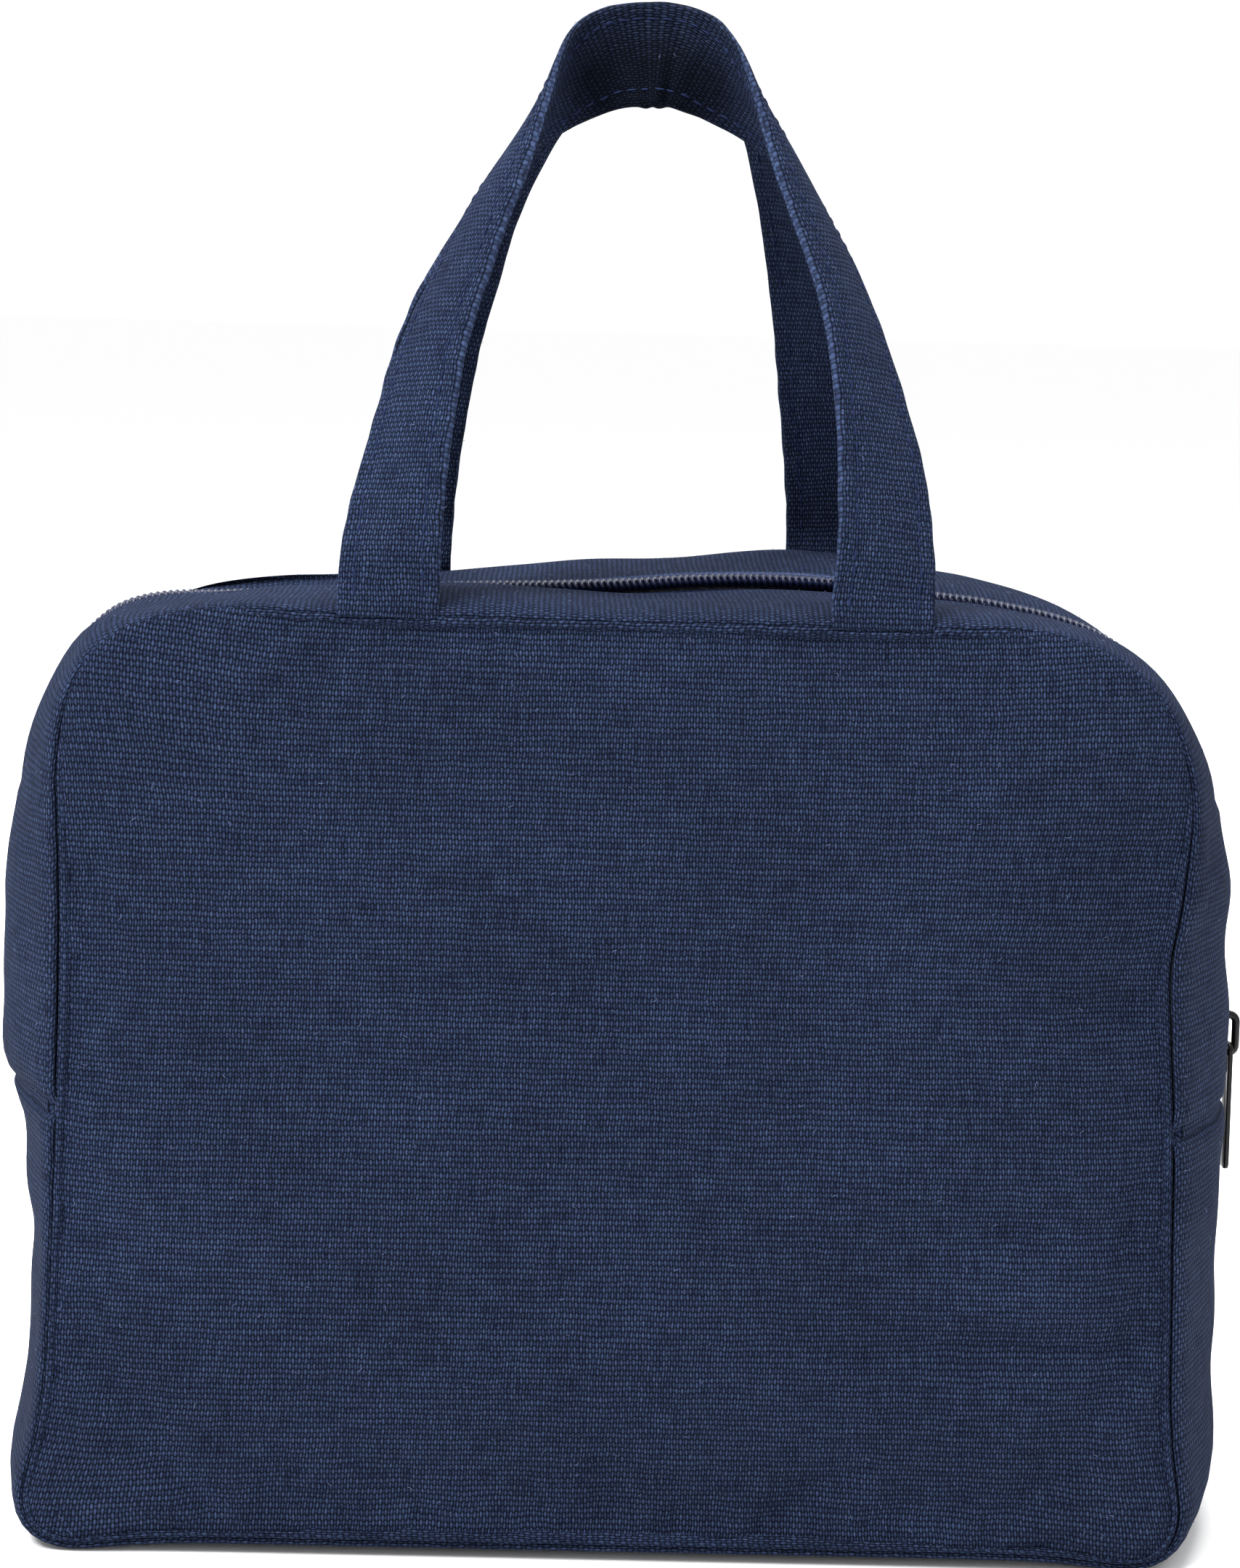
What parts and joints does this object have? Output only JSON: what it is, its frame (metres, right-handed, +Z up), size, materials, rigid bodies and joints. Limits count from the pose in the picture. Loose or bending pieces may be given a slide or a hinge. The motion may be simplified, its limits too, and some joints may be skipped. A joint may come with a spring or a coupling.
{
  "type": "lunch box",
  "caption": "Soft insulated canvas lunch bag with a wrap-round zip, foldable padded walls, foil-faced lining and two strap handles.",
  "frame": {"origin": "on the resting plane, under the middle of the body, in the middle plane between the front and rear walls", "axes": "+Z up, the front wall faces -Y, +X towards the zip slider's closed end"},
  "size_m": [0.2498, 0.1034, 0.2958],
  "materials": {
    "canvas": "navy plain-weave cotton canvas",
    "strap_canvas": "folded navy cotton canvas with lighter topstitching",
    "foam": "closed-cell insulation foam",
    "lining": "silver-grey wipe-clean lining film",
    "binding": "woven seam binding tape",
    "zip_tape": "woven polyester zip tape",
    "zip_coil": "moulded nylon coil",
    "enamel": "gloss black enamelled die casting"
  },
  "bodies": {
    "body": {"lower_gusset": "canvas", "lower_gusset_foam": "foam", "lower_gusset_lining": "lining", "front_panel_lower": "canvas", "front_foam_lower": "foam", "front_lining_lower": "lining", "front_binding_lower": "binding", "rear_panel_lower": "canvas", "rear_foam_lower": "foam", "rear_lining_lower": "lining", "rear_binding_lower": "binding"},
    "front_wall": {"front_panel_upper": "canvas", "front_foam_upper": "foam", "front_lining_upper": "lining", "front_binding_upper": "binding", "front_zip_strip": "canvas", "front_strip_foam": "foam", "front_strip_lining": "lining", "front_zip_tape": "zip_tape", "front_zip_coil": "zip_coil"},
    "rear_wall": {"rear_panel_upper": "canvas", "rear_foam_upper": "foam", "rear_lining_upper": "lining", "rear_binding_upper": "binding", "rear_zip_strip": "canvas", "rear_strip_foam": "foam", "rear_strip_lining": "lining", "rear_zip_tape": "zip_tape", "rear_zip_coil": "zip_coil"},
    "front_strap": {"front_handle": "strap_canvas"},
    "rear_strap": {"rear_handle": "strap_canvas"},
    "slider": {"slider_body": "enamel"},
    "pull": {"pull_tab": "enamel"}
  },
  "joints": [
    {"name": "front_wall_fold", "type": "hinge", "parent": "body", "child": "front_wall", "pos_m": [0, -0.05, 0.083], "axis": [1, 0, 0], "range_deg": [0, 40], "stiffness_Nm_per_rad": 0.08},
    {"name": "rear_wall_fold", "type": "hinge", "parent": "body", "child": "rear_wall", "pos_m": [0, 0.05, 0.083], "axis": [-1, 0, 0], "range_deg": [0, 40], "stiffness_Nm_per_rad": 0.08},
    {"name": "front_handle_swing", "type": "hinge", "parent": "front_wall", "child": "front_strap", "pos_m": [0, -0.0515, 0.1786], "axis": [1, 0, 0], "range_deg": [0, 180]},
    {"name": "rear_handle_swing", "type": "hinge", "parent": "rear_wall", "child": "rear_strap", "pos_m": [0, 0.0515, 0.1786], "axis": [-1, 0, 0], "range_deg": [0, 180]},
    {"name": "slider_travel", "type": "slide", "parent": "body", "child": "slider", "axis": [0, 0, -1], "range_m": [-0.035, 0]},
    {"name": "pull_swing", "type": "hinge", "parent": "slider", "child": "pull", "pos_m": [0.125, 0, 0.0887], "axis": [0, -1, 0], "range_deg": [0, 150]}
  ]
}
